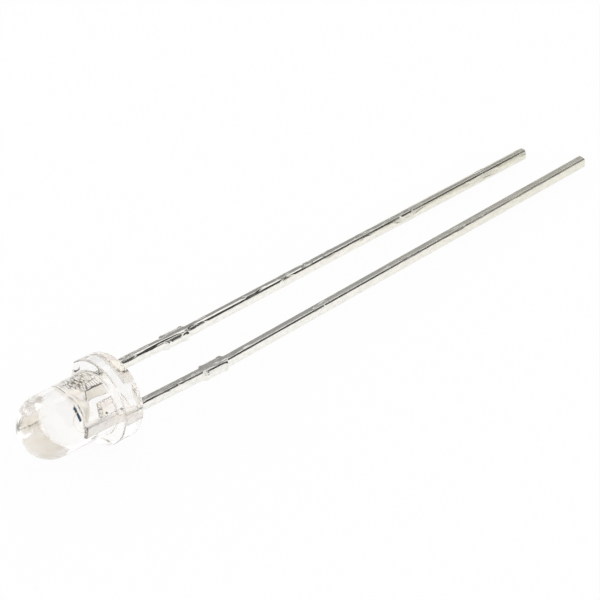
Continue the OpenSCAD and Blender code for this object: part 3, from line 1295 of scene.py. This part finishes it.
@dataclass
class StampedLead:
    """One lead with its stop, and its plate inside the lens."""

    side: Side
    leads: LeadSizes
    frame: FrameSizes
    lens: LensSizes
    pose: RestPose
    drawer: Drawer
    turner: Turner
    step: float = 0.06
    crown_steps: int = 5
    edge_steps: int = 8
    sharp: float = 40.0

    @property
    def which(self) -> int:
        """Place of this lead's value in a pair of sizes."""
        return int(self.side is Side.ANODE)

    def section(self) -> list[Point2]:
        """Draws the lead's cross-section: four crowned faces joined by rounded edges.

        Returns:
            The closed section, as (across, up) points.
        """
        half_w, half_t = self.leads.width / 2, self.leads.thickness / 2
        r = self.leads.edge_round
        top, flank = self.leads.crowns[self.which]
        a, b = math.radians(top), math.radians(flank)
        wide, high = half_w - r, half_t - r
        whole = math.sin(a) * math.sin(b) - (1 - math.cos(a)) * (1 - math.cos(b))
        top_r = r + (wide * math.sin(b) - high * (1 - math.cos(b))) / whole
        flank_r = r + (high * math.sin(a) - wide * (1 - math.cos(a))) / whole
        corner = ((top_r - r) * math.sin(a), (flank_r - r) * math.sin(b))
        quarter = arc((0.0, half_t - top_r), top_r, 90, 90 - top, self.crown_steps)
        quarter += arc(corner, r, 90 - top, flank, self.edge_steps)[1:]
        quarter += arc((half_w - flank_r, 0.0), flank_r, flank, 0, self.crown_steps)[1:]
        right = quarter + [(x, -y) for x, y in reversed(quarter[:-1])]
        return right + [(-x, y) for x, y in reversed(right[1:-1])]

    def half_width(self, x: float) -> float:
        """Half width of the strip with the stop's ramps, ears and waist.

        Args:
            x: Distance from the seating face.

        Returns:
            The half width there.
        """
        s = self.leads
        half, start, end = s.width / 2, s.stop_from, s.stop_from + s.stop_len
        waist, ear = half + s.stop_proud, half + s.stop_proud + s.ear_proud
        marks = [(start, half), (start + s.stop_proud, waist), (start + s.stop_proud + s.ear_len / 2, ear),
                 (start + s.stop_proud + s.ear_len, waist), (end - s.stop_proud - s.ear_len, waist),
                 (end - s.stop_proud - s.ear_len / 2, ear), (end - s.stop_proud, ear), (end, half)]
        for (x0, w0), (x1, w1) in zip(marks, marks[1:]):
            if x0 <= x <= x1:
                return w0 + (w1 - w0) * (x - x0) / (x1 - x0)
        return half

    def shank(self) -> bpy.types.Object:
        """Draws the lead from inside the lens to its rounded cut end.

        Returns:
            The lead without its plate.
        """
        s = self.leads
        length = s.lengths[self.which]
        first = -self.frame.foot_cover
        count = int((length - first) / self.step)
        stations = [first + (length - s.tip_len - first) * i / count for i in range(count + 1)]
        stations += [s.stop_from, s.stop_from + s.stop_len, s.stop_from + s.stop_proud,
                     s.stop_from + s.stop_len - s.stop_proud]
        stations = sorted(set(round(x, 5) for x in stations))
        places = stations + [length - back for back, _ in s.tip_girths]
        girth = [1.0] * len(stations) + [g for _, g in s.tip_girths]
        start, end = s.twists[self.which]
        twist = [math.radians(start + (end - start) * smoothstep(0.0, length, x)) * smoothstep(0.0, 1.0, x)
                 for x in places]
        return self.drawer.draw(
            self.side.name.lower() + "_strip", [s.centre(self.side, x) for x in places], self.section(),
            [self.half_width(x) for x in places], girth, s.width / 2, twist, s.ripple, s.ripple_scale)

    def outline(self) -> list[Point2]:
        """Draws the outline of this lead's plate.

        Returns:
            The corners on the upright drawing.
        """
        f, half = self.frame, self.leads.width / 2
        lead, wide = self.leads.pitch / 2, f.reach(self.lens, self.leads)
        low, high = self.lens.flange_h - f.widen_low, self.lens.flange_h - f.widen_high
        if self.side is Side.CATHODE:
            tip = math.sqrt(f.head_r ** 2 - (self.leads.thickness / 2) ** 2) - f.head_overlap
            return [(-lead - half, f.foot_cover / 2), (-lead - half, low), (-wide, high),
                    (-wide, f.cup_top - f.corner), (f.corner - wide, f.cup_top), (tip, f.cup_top),
                    (tip, f.cup_top - f.rim_land), (-f.cathode_inset, f.gusset_from),
                    (-f.cathode_inset, f.foot_cover + f.corner), (-f.cathode_inset - f.corner, f.foot_cover),
                    (-lead + half, f.foot_cover), (-lead + half, f.foot_cover / 2)]
        edge = f.foot_gap - f.cathode_inset
        shoulder = arc((edge + f.shoulder_round, f.shoulder_top - f.shoulder_round), f.shoulder_round,
                       180, f.shoulder_end, steps=6)
        return [(lead - half, f.foot_cover / 2), (lead - half, f.foot_cover), (edge + f.corner, f.foot_cover),
                (edge, f.foot_cover + f.corner), *shoulder, (f.post_y, f.shoulder_top + f.shoulder_rise),
                (f.post_y, f.post_top - f.post_slope * f.post_cut), (f.post_y + f.post_cut, f.post_top),
                (wide - f.post_corner, f.post_top), (wide, f.post_top - f.post_corner), (wide, high),
                (lead + half, low), (lead + half, f.foot_cover / 2)]

    def plate(self) -> bpy.types.Object:
        """Makes the stamped plate, with the coined cup on the cathode's side.

        Returns:
            The plate on the bench.
        """
        f = self.frame
        plate = slab("plate", to_bench(self.outline()), self.leads.thickness, f.edge)
        if self.side is Side.ANODE:
            return plate
        low, land, foot = f.cup_top - f.bulge_h, f.cup_top - f.rim_land, f.bulge_share * f.head_r
        head = [(0.0, low), (foot, low), (f.head_r, land), (f.head_r, f.cup_top - f.rim_bevel),
                (f.head_r - f.rim_bevel, f.cup_top), (0.0, f.cup_top)]
        bowl = [(0.0, f.floor_z)]
        bowl += [(f.cup_floor_d / 2 + out, f.floor_z + rise) for out, rise in f.bowl_floor]
        bowl += [(f.cup_d / 2 + out, f.cup_top + rise) for out, rise in f.bowl_lip]
        bowl += [(0.0, bowl[-1][1])]
        for name, profile, operation in (("bulge", head, "UNION"), ("cavity", bowl, "DIFFERENCE")):
            plate = combined(plate, self.turner.turn(name, support(profile), f.cup_segments), operation)
        return plate

    def build(self) -> bpy.types.Object:
        """Makes the whole lead at rest."""
        lead = combined(self.shank(), self.plate(), "UNION")
        return self.pose.lay(smooth(lead, self.sharp))


@dataclass
class ChipAndWire:
    """The chip on its adhesive in the cup, and the wire to the anode's post."""

    sizes: ChipSizes
    frame: FrameSizes
    lens: LensSizes
    leads: LeadSizes
    pose: RestPose
    drawer: Drawer
    turner: Turner
    wire_sharp: float = 50.0

    @property
    def chip_z(self) -> float:
        """Height of the chip's underside."""
        return self.frame.floor_z + self.sizes.glue

    @property
    def chip_top(self) -> float:
        """Height of the chip's top."""
        return self.chip_z + self.sizes.height

    def chip(self) -> bpy.types.Object:
        """Makes the diced block, with a step where its junction was etched.

        Returns:
            The chip at rest.
        """
        shape = bmesh.new()
        rings = []
        for share, lift, inset in self.sizes.levels:
            z, r = self.chip_z + share * (self.chip_top - self.chip_z) + lift, self.sizes.side / 2 - inset
            rings.append([shape.verts.new((-z, y, u)) for y, u in ((r, r), (-r, r), (-r, -r), (r, -r))])
        for low, high in zip(rings, rings[1:]):
            for i in range(4):
                shape.faces.new((low[i], low[(i + 1) % 4], high[(i + 1) % 4], high[i]))
        shape.faces.new(rings[0])
        shape.faces.new(rings[-1][::-1])
        bmesh.ops.recalc_face_normals(shape, faces=shape.faces)
        return self.pose.lay(solid_from("chip_block", shape))

    def adhesive(self) -> bpy.types.Object:
        """Makes the pad of adhesive, with a skirt that climbs the chip's foot.

        Returns:
            The pad at rest.
        """
        s, half, z, low = self.sizes, self.sizes.side / 2, self.frame.floor_z, -self.chip_z
        foot = min(half + s.skirt, self.frame.cup_floor_d / 2 - s.skirt_clear)
        profile = [(0.0, z)]
        profile += [(foot + out, z + rise) for out, rise in s.skirt_foot]
        profile += [(half + out, z + rise) for out, rise in s.skirt_top]
        profile += [(0.0, profile[-1][1])]
        pad = self.turner.turn("adhesive_pad", profile, s.skirt_segments)
        deep = low - s.seat_depth
        hollow = slab("chip_seat", [(low, -half), (low, half), (deep, half), (deep, -half)], s.side)
        return self.pose.lay(smooth(combined(pad, hollow, "DIFFERENCE")))

    def wire_path(self) -> list[Point2]:
        """Draws the wire's centreline: a cubic curve, then the straight stitch.

        Returns:
            Points from the ball to the end of the stitch, on the upright drawing.
        """
        s, f = self.sizes, self.frame
        stitch = f.post_y + f.post_cut + s.wire_d / 2
        landing = s.landing * (f.reach(self.lens, self.leads) - f.post_corner - stitch)
        rest = f.post_top + s.wire_d / 2 * math.cos(math.pi / s.rest_sides)
        marks = [(0.0, self.chip_top + s.ball_h - s.wire_d / 2)]
        marks += [(share * stitch, f.post_top + lift * s.loop_h) for share, lift in s.loop_marks]
        marks += [(stitch, rest)]
        points = []
        for i in range(s.wire_steps + 1):
            t = i / s.wire_steps
            weights = ((1 - t) ** 3, 3 * (1 - t) ** 2 * t, 3 * (1 - t) * t * t, t ** 3)
            points.append((sum(w * m[0] for w, m in zip(weights, marks)),
                           sum(w * m[1] for w, m in zip(weights, marks))))
        shares = [k / s.landing_steps for k in range(1, s.landing_steps + 1)]
        return points + [(stitch + landing * share, rest) for share in shares]

    def wire(self) -> bpy.types.Object:
        """Makes the wire with its ball and its squashed stitch.

        Returns:
            The wire at rest.
        """
        s, half = self.sizes, self.sizes.wire_d / 2
        path = [(-z, -x, 0.0) for x, z in self.wire_path()]
        girth = [1.0] * (len(path) - len(s.squash)) + list(s.squash)
        wire = self.drawer.draw("wire_loop", path, arc((0.0, 0.0), half, 0, 360, s.wire_sides)[:-1],
                                [half] * len(path), girth, half)
        flat, middle = s.ball_d / 2 - s.ball_edge, self.chip_top + s.ball_h / 2
        rim = [math.radians(-90 + 180 * i / s.ball_steps) for i in range(s.ball_steps + 1)]
        profile = [(0.0, self.chip_top)]
        profile += [(flat + s.ball_edge * math.cos(a), middle + s.ball_h / 2 * math.sin(a)) for a in rim]
        profile += [(half, self.chip_top + s.ball_h), (0.0, self.chip_top + s.ball_h)]
        ball = self.turner.turn("ball", profile, s.ball_segments)
        return self.pose.lay(smooth(combined(wire, ball, "UNION"), self.wire_sharp))


# Studio


@dataclass(frozen=True)
class Patch:
    """One soft-edged patch of the studio round the object, seen in its gloss. Angles are in degrees."""

    azimuth: float
    elevation: float
    core: float
    rim: float
    level: float

    def direction(self) -> Point3:
        """Unit vector towards the patch."""
        a, e = math.radians(self.azimuth), math.radians(self.elevation)
        return (math.cos(e) * math.cos(a), math.cos(e) * math.sin(a), math.sin(e))

    def edge(self) -> Span:
        """Cosines of the angles at which the patch begins and is whole."""
        return math.cos(math.radians(self.rim)), math.cos(math.radians(self.core))


@dataclass(frozen=True)
class CameraSizes:
    """The photograph's camera: right, down and ahead are its axes, and offset is the bench's zero on them."""

    lens: float = 362.08
    sensor: float = 36.0
    near: float = 0.01
    far: float = 100.0
    right: Point3 = (0.7102, -0.6910, 0.1348)
    down: Point3 = (-0.3579, -0.5192, -0.7761)
    ahead: Point3 = (0.6062, 0.5029, -0.6161)
    offset: Point3 = (-8.1463, 4.0595, 262.195)


@dataclass
class Studio:
    """Pale floor, soft light all round and the camera."""

    floor_z: float
    pose: RestPose
    view: CameraSizes = CameraSizes()
    floor_reach: float = 3.0
    floor_shade: float = 0.90
    floor_glow: float = 0.94
    sky: float = 0.96
    glass_ease: float = 0.78
    box_gain: float = 0.23
    patches: tuple[Patch, ...] = (
        Patch(48, 20, 12, 40, 0.33),
        Patch(-12, 47, 22, 27, 0.05),
        Patch(-42, 28, 17, 24, 0.05),
        Patch(33, 40, 5, 9, 1.1),
        Patch(225, 24, 8, 30, 0.35),
        Patch(150, 8, 6, 22, 0.35),
    )

    def floor(self) -> bpy.types.Object:
        """Makes a wide pale floor that camera, gloss and glass see as white, with the object's shadow kept.

        Returns:
            The floor.
        """
        far, shade = self.floor_reach, self.floor_shade
        corners = [(x, y, self.floor_z) for x, y in ((-far, -far), (far, -far), (far, far), (-far, far))]
        floor = mesh_from("floor", corners, (), [(0, 1, 2, 3)])
        material, g = fresh_material("floor")
        path = g.add("ShaderNodeLightPath")
        seen = (path["Is Camera Ray"] + path["Is Glossy Ray"] + path["Is Transmission Ray"]).least(1.0)
        matte = g.add("ShaderNodeBsdfDiffuse", None, {"Color": (shade, shade, shade, 1.0)})
        glow = g.add("ShaderNodeEmission", None, {"Color": WHITE, "Strength": 1.0})
        mixed = g.add("ShaderNodeMixShader", None, {0: seen * self.floor_glow, 1: matte[0], 2: glow[0]})
        g.add("ShaderNodeOutputMaterial", None, {"Surface": mixed[0]})
        floor.data.materials.append(material)
        return floor

    def light(self) -> None:
        """Lights the scene softly from all round, with the studio's darker and brighter parts in gloss."""
        world = bpy.data.worlds.new("studio")
        bpy.context.scene.world = world
        world.use_nodes = True
        world.node_tree.nodes.clear()
        g = Graph(world.node_tree)
        towards = g.add("ShaderNodeTexCoord")["Generated"]
        level: Any = self.sky
        for patch in self.patches:
            facing = g.add("ShaderNodeVectorMath", {"operation": "DOT_PRODUCT"}, {
                0: towards, 1: patch.direction()})["Value"]
            share = facing.rise(patch.edge())
            level = share * patch.level + (1 - share) * level
        path = g.add("ShaderNodeLightPath")
        share = path["Is Glossy Ray"] * (1 - path["Is Transmission Ray"] * self.glass_ease)
        strength = 1 - share * (1 - level) + path["Is Transmission Ray"] * self.box_gain
        back = g.add("ShaderNodeBackground", None, {"Color": WHITE, "Strength": strength})
        g.add("ShaderNodeOutputWorld", None, {"Surface": back[0]})

    def camera(self) -> bpy.types.Object:
        """Places the photograph's camera on the bench and lays it down with the part.

        Returns:
            The camera.
        """
        view = self.view
        data = bpy.data.cameras.new("camera")
        data.sensor_width = view.sensor
        data.lens = view.lens
        data.clip_start = view.near
        data.clip_end = view.far
        camera = bpy.data.objects.new("camera", data)
        bpy.context.scene.collection.objects.link(camera)
        right, down, ahead = Vector(view.right), Vector(view.down), Vector(view.ahead)
        place = -(right * view.offset[0] + down * view.offset[1] + ahead * view.offset[2])
        turn = Matrix((right, -down, -ahead)).transposed().to_4x4()
        lie = self.pose.matrix()
        rotation = lie.to_quaternion().to_matrix().to_4x4() @ turn
        camera.matrix_world = Matrix.Translation(lie @ place) @ rotation
        bpy.context.scene.camera = camera
        return camera


def dress(piece: bpy.types.Object, material: bpy.types.Material, node: str) -> None:
    """Gives a piece its looks and its place in the object, and reports it.

    Args:
        piece: The finished piece.
        material: Its material.
        node: The CAD node that it stands for.
    """
    piece.data.materials.clear()
    piece.data.materials.append(material)
    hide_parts(node)
    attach(piece, "root")
    LOG.info("%s: %d faces, for %s", piece.name, len(piece.data.polygons), node)


def main() -> None:
    """Builds the pieces in order, then the studio."""
    logging.basicConfig(level=logging.INFO, format="%(name)s: %(message)s")
    lens, leads, plates, chip = LensSizes(), LeadSizes(), FrameSizes(), ChipSizes()
    pose = RestPose(lens, leads)
    turner, drawer = Turner(), Drawer()

    casting = LensCasting(lens, pose, turner).build()
    dress(casting, ClearEpoxy().make(), "lens")
    finishes = ((Side.CATHODE, PlatedStrip("cathode_tin"), "cathode_lead"),
                (Side.ANODE, PlatedStrip("anode_tin", seed=7.3, matte=0.11, pitting=0.5), "anode_lead"))
    for side, finish, node in finishes:
        lead = StampedLead(side, leads, plates, lens, pose, drawer, turner).build()
        dress(lead, finish.make(), node)
    inner = ChipAndWire(chip, plates, lens, leads, pose, drawer, turner)
    dress(inner.chip(), ChipFinish().make(), "led_chip")
    dress(inner.adhesive(), SilverPaste().make(), "chip_adhesive")
    dress(inner.wire(), GoldWire().make(), "bond_wire")

    studio = Studio(CAD_BOX[0][2] - FLOOR_GAP, pose)
    studio.floor()
    studio.light()
    studio.camera()
    scene = bpy.context.scene
    scene.view_settings.view_transform = "Standard"
    scene.cycles.max_bounces = 24
    scene.cycles.transmission_bounces = 20
    scene.cycles.glossy_bounces = 12


if __name__ == "__main__":
    main()
